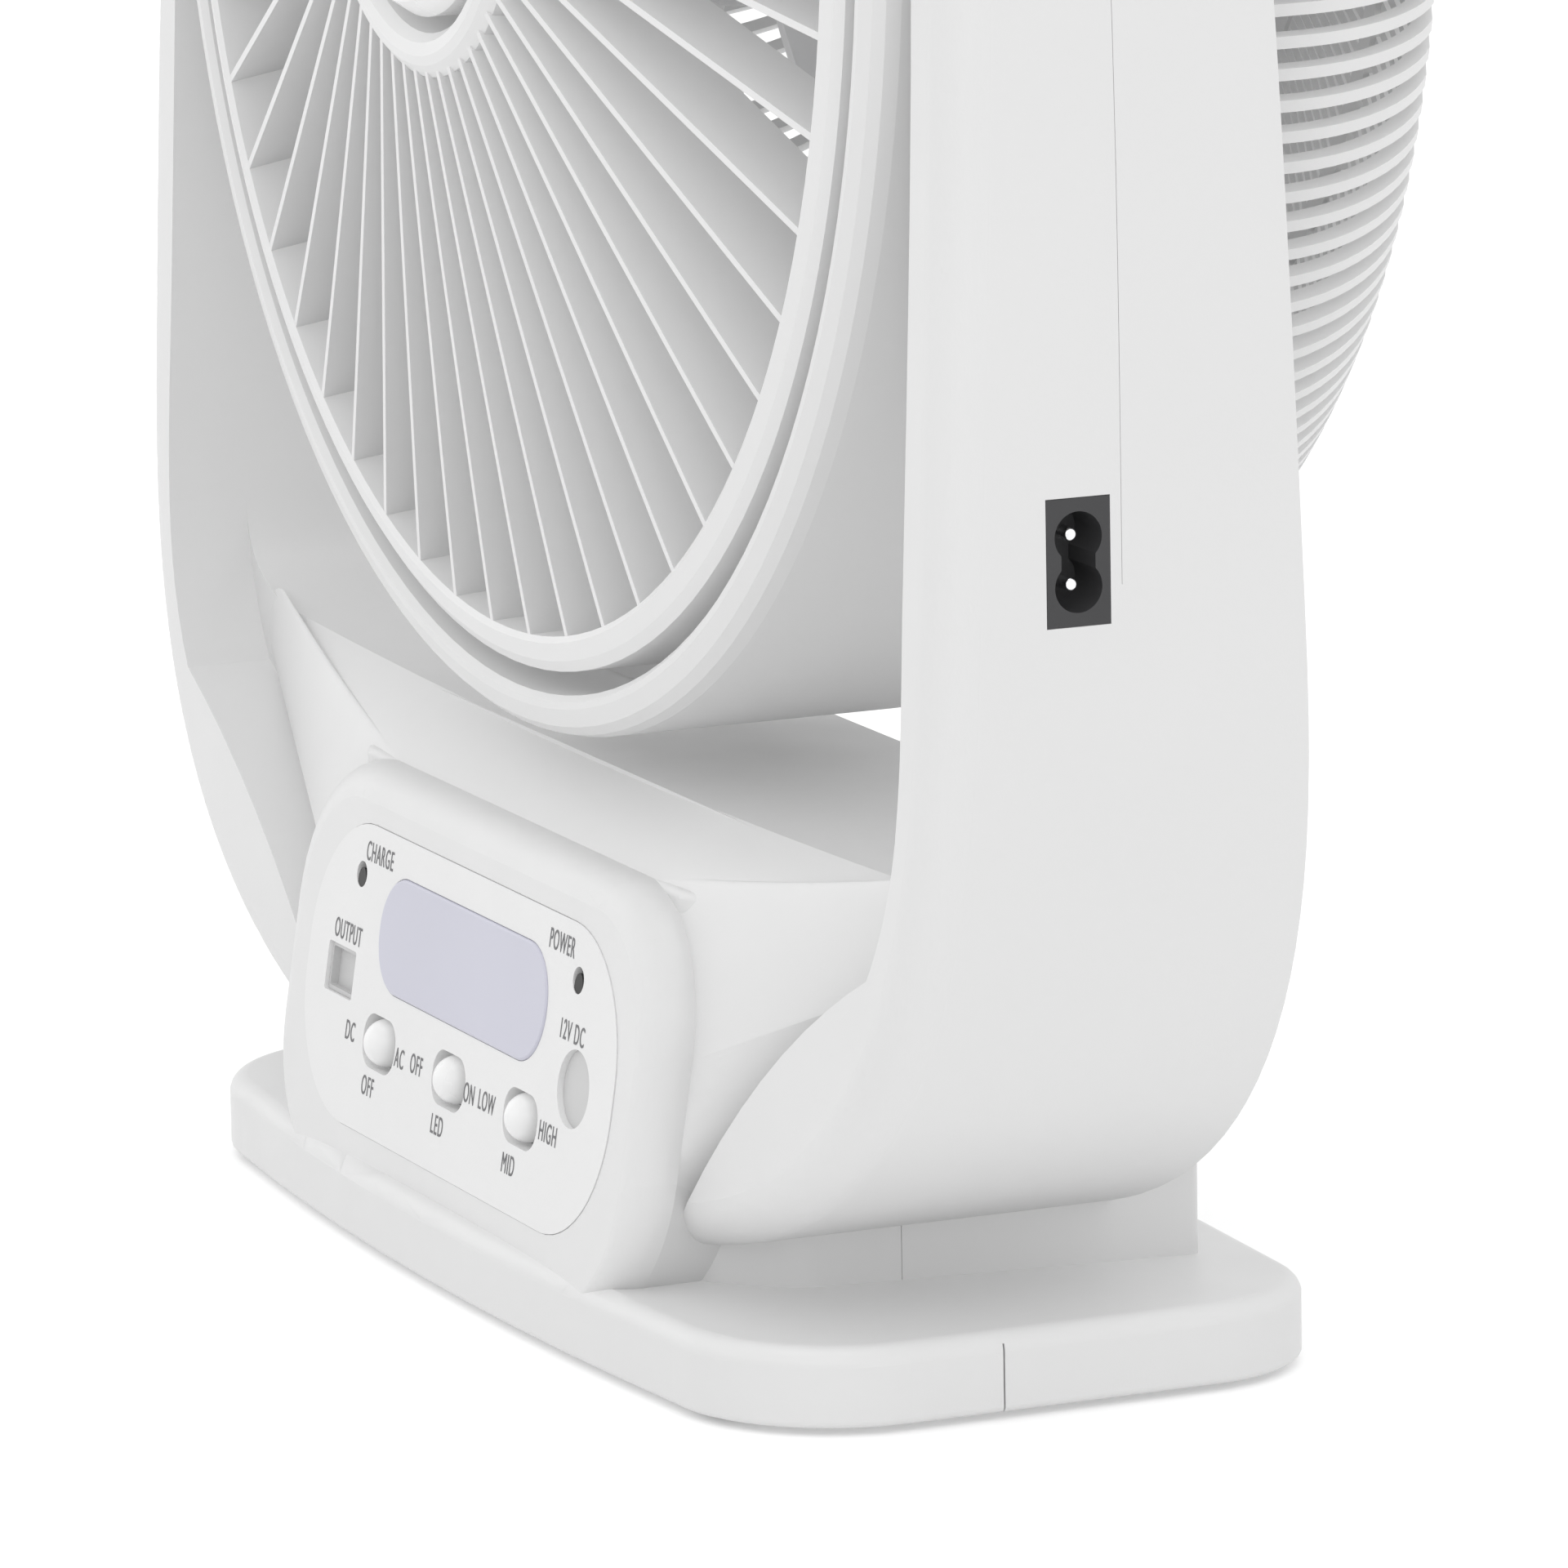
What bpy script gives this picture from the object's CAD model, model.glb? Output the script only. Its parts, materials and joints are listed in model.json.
import bpy
import json
import math
from mathutils import Matrix, Vector


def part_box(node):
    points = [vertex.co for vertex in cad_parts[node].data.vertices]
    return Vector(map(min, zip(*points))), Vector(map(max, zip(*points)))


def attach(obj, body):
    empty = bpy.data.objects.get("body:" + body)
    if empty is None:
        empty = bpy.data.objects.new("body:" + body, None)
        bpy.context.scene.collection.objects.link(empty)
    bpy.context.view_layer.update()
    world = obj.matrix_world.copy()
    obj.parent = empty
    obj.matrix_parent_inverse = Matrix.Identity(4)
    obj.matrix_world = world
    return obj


# Looks of the box fan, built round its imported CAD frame: a material for every piece, the words on
# the control panel, the smoked windows of the indicators, and a pale studio. Metres, +Z up, and
# the fan blows towards -Y.

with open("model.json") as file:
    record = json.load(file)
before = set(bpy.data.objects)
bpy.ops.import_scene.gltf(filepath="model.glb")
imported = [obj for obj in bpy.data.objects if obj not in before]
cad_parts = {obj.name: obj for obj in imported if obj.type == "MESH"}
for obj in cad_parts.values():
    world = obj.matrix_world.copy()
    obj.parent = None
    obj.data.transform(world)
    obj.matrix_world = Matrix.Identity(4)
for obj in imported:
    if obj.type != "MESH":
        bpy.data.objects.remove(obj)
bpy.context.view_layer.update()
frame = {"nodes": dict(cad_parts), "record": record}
nodes = frame["nodes"]
MM = 0.001

# ---- places taken from the frame --------------------------------------------------------
drum_low, drum_high = (Vector(c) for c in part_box("drum_shell"))
AXIS = Vector((0.0, drum_low.y, (drum_low.z + drum_high.z) / 2))   # fan axis at the drum lip
PANEL_LEAN = math.radians(9.0)
PANEL_TURN = Matrix.Rotation(math.pi / 2 - PANEL_LEAN, 4, "X")   # flat piece onto the panel
PANEL_MIDDLE = AXIS + Vector((0.0, -12.4, -224.0)) * MM
PANEL_PROUD = 0.2 * MM      # panel face over the pod's flat, measured from PANEL_MIDDLE
PRINT_PROUD = 0.06 * MM     # thickness of the printed ink


# ---- materials --------------------------------------------------------------------------
PLASTIC_IOR = 1.47
SKIN_SPREAD = 0.05      # how far a plastic's roughness wanders each way
METAL_SPREAD = 0.07


def new_material(name):
    mat = bpy.data.materials.new(name)
    mat.use_nodes = True
    return mat, mat.node_tree, mat.node_tree.nodes["Principled BSDF"]


def noise(tree, scale, detail=3.0):
    """Noise in object space, so it keeps its place on the piece."""
    place = tree.nodes.new("ShaderNodeTexCoord")
    tex = tree.nodes.new("ShaderNodeTexNoise")
    tex.inputs["Scale"].default_value = scale
    tex.inputs["Detail"].default_value = detail
    tree.links.new(place.outputs["Object"], tex.inputs["Vector"])
    return tex.outputs["Fac"]


def spread(tree, fac, low, high):
    """A number that runs from low to high with the noise."""
    node = tree.nodes.new("ShaderNodeMapRange")
    node.inputs["From Min"].default_value = 0.3
    node.inputs["From Max"].default_value = 0.7
    node.inputs["To Min"].default_value = low
    node.inputs["To Max"].default_value = high
    tree.links.new(fac, node.inputs["Value"])
    return node.outputs["Result"]


def two_colours(tree, fac, first, second):
    """Soft patches of two colours that follow the noise."""
    ramp = tree.nodes.new("ShaderNodeValToRGB")
    ramp.color_ramp.elements[0].position = 0.35
    ramp.color_ramp.elements[1].position = 0.65
    ramp.color_ramp.elements[0].color = (*first, 1.0)
    ramp.color_ramp.elements[1].color = (*second, 1.0)
    tree.links.new(fac, ramp.inputs["Fac"])
    return ramp.outputs["Color"]


def bump(tree, shader, fac, depth):
    """Surface grain, depth in metres from valley to crest."""
    node = tree.nodes.new("ShaderNodeBump")
    node.inputs["Distance"].default_value = depth
    node.inputs["Strength"].default_value = 1.0
    tree.links.new(fac, node.inputs["Height"])
    tree.links.new(node.outputs["Normal"], shader.inputs["Normal"])


def scaled(colour, factor):
    return tuple(c * factor for c in colour)


def finish_skin(tree, shader, body, skin):
    """Joins a body colour and a skin roughness to the shader."""
    tree.links.new(body, shader.inputs["Base Color"])
    tree.links.new(skin, shader.inputs["Roughness"])


def moulded(name, colour, rough, grain=0.012, tint=0.985):
    """Injection-moulded plastic: faint flow marks, fine spark grain and a satin skin."""
    mat, tree, shader = new_material(name)
    body = two_colours(tree, noise(tree, 9.0, 2.0), scaled(colour, tint), colour)
    skin = spread(tree, noise(tree, 60.0, 4.0), rough - SKIN_SPREAD, rough + SKIN_SPREAD)
    finish_skin(tree, shader, body, skin)
    bump(tree, shader, noise(tree, 1900.0, 2.0), grain * MM)
    shader.inputs["IOR"].default_value = PLASTIC_IOR
    return mat


def metal(name, colour, rough, stretch=(1.0, 1.0, 1.0), scale=700.0, depth=0.01):
    """Bare or plated metal with fine tool marks along one direction."""
    mat, tree, shader = new_material(name)
    place = tree.nodes.new("ShaderNodeTexCoord")
    lie = tree.nodes.new("ShaderNodeMapping")
    lie.inputs["Scale"].default_value = stretch
    tex = tree.nodes.new("ShaderNodeTexNoise")
    tex.inputs["Scale"].default_value = scale
    tex.inputs["Detail"].default_value = 3.0
    tree.links.new(place.outputs["Object"], lie.inputs["Vector"])
    tree.links.new(lie.outputs["Vector"], tex.inputs["Vector"])
    marks = tex.outputs["Fac"]
    body = two_colours(tree, marks, scaled(colour, 0.88), colour)
    skin = spread(tree, marks, rough - METAL_SPREAD, rough + METAL_SPREAD)
    finish_skin(tree, shader, body, skin)
    bump(tree, shader, marks, depth * MM)
    shader.inputs["Metallic"].default_value = 1.0
    return mat


def frosted(name, colour):
    """Milky lamp diffuser: soft glossy skin over a cloudy body."""
    mat, tree, shader = new_material(name)
    body = two_colours(tree, noise(tree, 14.0, 1.0), colour, scaled(colour, 1.04))
    finish_skin(tree, shader, body, spread(tree, noise(tree, 9.0, 1.0), 0.30, 0.34))
    bump(tree, shader, noise(tree, 150.0, 1.0), 0.001 * MM)
    return mat


def rubber(name, colour):
    """Dull rubber with a pebbled skin."""
    mat, tree, shader = new_material(name)
    body = two_colours(tree, noise(tree, 120.0), colour, scaled(colour, 1.35))
    finish_skin(tree, shader, body, spread(tree, noise(tree, 400.0), 0.72, 0.88))
    bump(tree, shader, noise(tree, 1500.0, 5.0), 0.05 * MM)
    return mat


def laminate(name):
    """Green coated circuit laminate with its woven glass showing faintly."""
    mat, tree, shader = new_material(name)
    body = two_colours(tree, noise(tree, 350.0, 4.0), (0.02, 0.13, 0.045), (0.035, 0.19, 0.07))
    finish_skin(tree, shader, body, spread(tree, noise(tree, 700.0), 0.25, 0.42))
    bump(tree, shader, noise(tree, 1400.0), 0.03 * MM)
    return mat


def wound_copper(name):
    """Enamelled wire laid side by side."""
    mat, tree, shader = new_material(name)
    place = tree.nodes.new("ShaderNodeTexCoord")
    wires = tree.nodes.new("ShaderNodeTexWave")
    wires.inputs["Scale"].default_value = 500.0
    wires.inputs["Distortion"].default_value = 1.2
    wires.bands_direction = "Z"
    tree.links.new(place.outputs["Object"], wires.inputs["Vector"])
    body = two_colours(tree, wires.outputs["Fac"], (0.28, 0.09, 0.03), (0.62, 0.25, 0.09))
    finish_skin(tree, shader, body, spread(tree, noise(tree, 300.0), 0.25, 0.4))
    bump(tree, shader, wires.outputs["Fac"], 0.15 * MM)
    shader.inputs["Metallic"].default_value = 0.8
    return mat


def grey(level):
    return (level, level, level)


MATERIALS = {
    "white_shell": moulded("white_shell", grey(0.61), 0.42),
    "white_grille": moulded("white_grille", grey(0.64), 0.40),
    "white_panel": moulded("white_panel", grey(0.65), 0.45, grain=0.02),
    "white_knob": moulded("white_knob", grey(0.72), 0.28, grain=0.005),
    "white_blade": moulded("white_blade", (0.64, 0.64, 0.645), 0.38),
    "lamp_diffuser": frosted("lamp_diffuser", (0.45, 0.45, 0.52)),
    "black_plastic": moulded("black_plastic", (0.012, 0.012, 0.013), 0.35, tint=0.8),
    "dark_grey_plastic": moulded("dark_grey_plastic", (0.035, 0.035, 0.037), 0.42, tint=0.85),
    "grey_plastic": moulded("grey_plastic", grey(0.48), 0.45, tint=0.94),
    "rubber": rubber("rubber", grey(0.03)),
    "plated_steel": metal("plated_steel", (0.62, 0.62, 0.63), 0.3),
    "steel": metal("steel", (0.55, 0.55, 0.56), 0.28, stretch=(1.0, 0.05, 1.0)),
    "chrome_pin": metal("chrome_pin", (0.85, 0.85, 0.86), 0.15, stretch=(0.1, 1.0, 1.0),
                        depth=0.003),
    "motor_metal": metal("motor_metal", (0.42, 0.43, 0.44), 0.42, scale=900.0, depth=0.02),
    "laminations": metal("laminations", (0.30, 0.30, 0.31), 0.45, stretch=(0.02, 1.0, 0.02),
                         scale=1500.0, depth=0.08),
    "copper_wire": wound_copper("copper_wire"),
    "circuit_board": laminate("circuit_board"),
    "battery_case": moulded("battery_case", (0.03, 0.035, 0.045), 0.5, grain=0.03, tint=0.8),
    "led_clear": moulded("led_clear", (0.008, 0.004, 0.004), 0.3, grain=0.003, tint=0.8),
    "nylon": moulded("nylon", (0.66, 0.64, 0.57), 0.5, tint=0.95),
}
PRINT_GREY = moulded("print_grey", (0.13, 0.13, 0.135), 0.55, grain=0.004, tint=0.9)
SMOKED = moulded("smoked_window", grey(0.012), 0.5, grain=0.003, tint=0.8)


def dress_nodes():
    """Gives every CAD node the material of its slot in the record."""
    for part in frame["record"]["subparts"]:
        piece = nodes[part["node"]]
        piece.data.materials.clear()
        piece.data.materials.append(MATERIALS[part["material_slot"]])


# ---- printed words on the control panel -------------------------------------------------

def panel_point(x, up, proud):
    """Point over the panel, x and up the slope in millimetres from its middle."""
    out = Vector((0.0, -math.cos(PANEL_LEAN), math.sin(PANEL_LEAN)))
    slope = Vector((0.0, math.sin(PANEL_LEAN), math.cos(PANEL_LEAN)))
    return PANEL_MIDDLE + Vector((x * MM, 0.0, 0.0)) + slope * (up * MM) + out * proud


# each word with its place across and up the slope, in millimetres from the panel's middle
WORDS = (("CHARGE", -45.4, 23.3), ("POWER", 44.2, 23.6), ("OUTPUT", -56.4, 6.6),
         ("12V DC", 53.5, 8.8),
         ("DC", -49.6, -11.2), ("OFF", -38.0, -19.6), ("AC", -24.3, -11.5), ("OFF", -15.9, -11.1),
         ("LED", -2.8, -19.9), ("ON", 10.4, -11.2), ("LOW", 18.9, -11.1), ("MID", 32.1, -20.0),
         ("HIGH", 48.3, -10.9))
LETTER_SIZE = 5.3 * MM
LETTER_WIDTH = 0.60
LETTER_GAP = 1.14


def print_word(number, text, x, up):
    curve = bpy.data.curves.new("word_%02d" % number, "FONT")
    curve.body = text
    curve.size = LETTER_SIZE
    curve.space_character = LETTER_GAP
    curve.align_x = "CENTER"
    curve.align_y = "CENTER"
    curve.extrude = PRINT_PROUD / 2
    curve.materials.append(PRINT_GREY)
    word = bpy.data.objects.new("word_%02d" % number, curve)
    bpy.context.scene.collection.objects.link(word)
    place = Matrix.Translation(panel_point(x, up, PANEL_PROUD + PRINT_PROUD))
    narrow = Matrix.Diagonal((LETTER_WIDTH, 1.0, 1.0, 1.0))
    word.matrix_world = place @ PANEL_TURN @ narrow
    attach(word, "stand")


# ---- smoked windows over the two indicators ---------------------------------------------
WINDOW_RADIUS = (1.9 * MM, 2.5 * MM)
WINDOW_THICK = 0.5 * MM
WINDOW_SUNK = 0.15 * MM
WINDOW_SIDES = 48


def window(name, indicator):
    """Thin dark lens flush in the panel in front of one indicator."""
    low, high = (Vector(c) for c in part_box(indicator))
    middle = (low + high) / 2
    up = (middle.z - PANEL_MIDDLE.z) / math.cos(PANEL_LEAN)
    bpy.ops.mesh.primitive_cylinder_add(vertices=WINDOW_SIDES, radius=1.0, depth=1.0)
    lens = bpy.context.object
    lens.name = name
    size = Matrix.Diagonal((*WINDOW_RADIUS, WINDOW_THICK, 1.0))
    place = panel_point(middle.x / MM, up / MM, PANEL_PROUD - WINDOW_SUNK - WINDOW_THICK / 2)
    lens.data.transform(Matrix.Translation(place) @ PANEL_TURN @ size)
    lens.data.materials.append(SMOKED)
    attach(lens, "stand")


# ---- studio -----------------------------------------------------------------------------
FLOOR_SIZE = 30.0
ROOM_LIGHT = 1.0

# name, place, point aimed at, side of the square, watts, casts shadows
LIGHTS = (("key", (2.4, -1.5, 1.1), (0.0, 0.0, 0.25), 1.6, 8.2, True),
          ("front", (-0.6, -2.6, 1.2), (0.0, 0.0, 0.2), 1.8, 3.0, True),
          ("top", (0.4, -0.2, 2.6), (0.0, 0.0, 0.0), 2.0, 19.0, False),
          ("side_fill", (2.4, 0.6, 0.4), (0.0, 0.0, 0.1), 1.2, 3.5, False),
          ("left_fill", (-2.2, -1.2, 0.8), (0.0, 0.0, 0.2), 1.6, 5.0, False))


def floor():
    bpy.ops.mesh.primitive_plane_add(size=FLOOR_SIZE, location=(0.0, 0.0, 0.0))
    plane = bpy.context.object
    plane.name = "studio_floor"
    mat, tree, shader = new_material("studio_paper")
    paper = two_colours(tree, noise(tree, 3.0), grey(0.95), grey(0.96))
    tree.links.new(paper, shader.inputs["Base Color"])
    shader.inputs["Roughness"].default_value = 0.9
    plane.data.materials.append(mat)


def soft_box(name, place, aim, size, power, shadows):
    light = bpy.data.lights.new(name, "AREA")
    light.shape = "SQUARE"
    light.size = size
    light.energy = power
    light.use_shadow = shadows
    lamp = bpy.data.objects.new(name, light)
    lamp.location = place
    lamp.rotation_euler = (Vector(aim) - Vector(place)).to_track_quat("-Z", "Y").to_euler()
    bpy.context.scene.collection.objects.link(lamp)


def studio():
    floor()
    scene = bpy.context.scene
    world = bpy.data.worlds.new("studio_room")
    world.use_nodes = True
    room = world.node_tree.nodes["Background"]
    room.inputs["Color"].default_value = (1.0, 1.0, 1.0, 1.0)
    room.inputs["Strength"].default_value = ROOM_LIGHT
    scene.world = world
    scene.view_settings.view_transform = "Standard"
    for light in LIGHTS:
        soft_box(*light)


# ---- camera at the viewing angle of a long lens from the front right --------------------
CAMERA_PLACE = Vector((1.80150, -0.78395, 0.48087))
CAMERA_AZIMUTH = math.radians(66.517)
CAMERA_PITCH = math.radians(-11.311)
CAMERA_ROLL = math.radians(-1.002)
LENS = 246.07
SENSOR = 36.0


def camera():
    """Looks along azimuth and pitch, then rolls about its line of sight."""
    data = bpy.data.cameras.new("camera")
    data.lens = LENS
    data.sensor_width = SENSOR
    data.clip_start = 0.05
    data.clip_end = 100.0
    cam = bpy.data.objects.new("camera", data)
    az, pitch, roll = CAMERA_AZIMUTH, CAMERA_PITCH, CAMERA_ROLL
    out = math.cos(pitch)
    ahead = Vector((-math.sin(az) * out, math.cos(az) * out, math.sin(pitch)))
    level = ahead.cross(Vector((0.0, 0.0, 1.0))).normalized()
    rise = level.cross(ahead)
    right = level * math.cos(roll) + rise * math.sin(roll)
    up = rise * math.cos(roll) - level * math.sin(roll)
    turn = Matrix((right, up, -ahead)).transposed().to_4x4()
    cam.matrix_world = Matrix.Translation(CAMERA_PLACE) @ turn
    bpy.context.scene.collection.objects.link(cam)
    bpy.context.scene.camera = cam


dress_nodes()
for number, (text, x, up) in enumerate(WORDS):
    print_word(number, text, x, up)
window("charge_window", "charge_indicator")
window("power_window", "power_indicator")
studio()
camera()
bpy.context.view_layer.update()
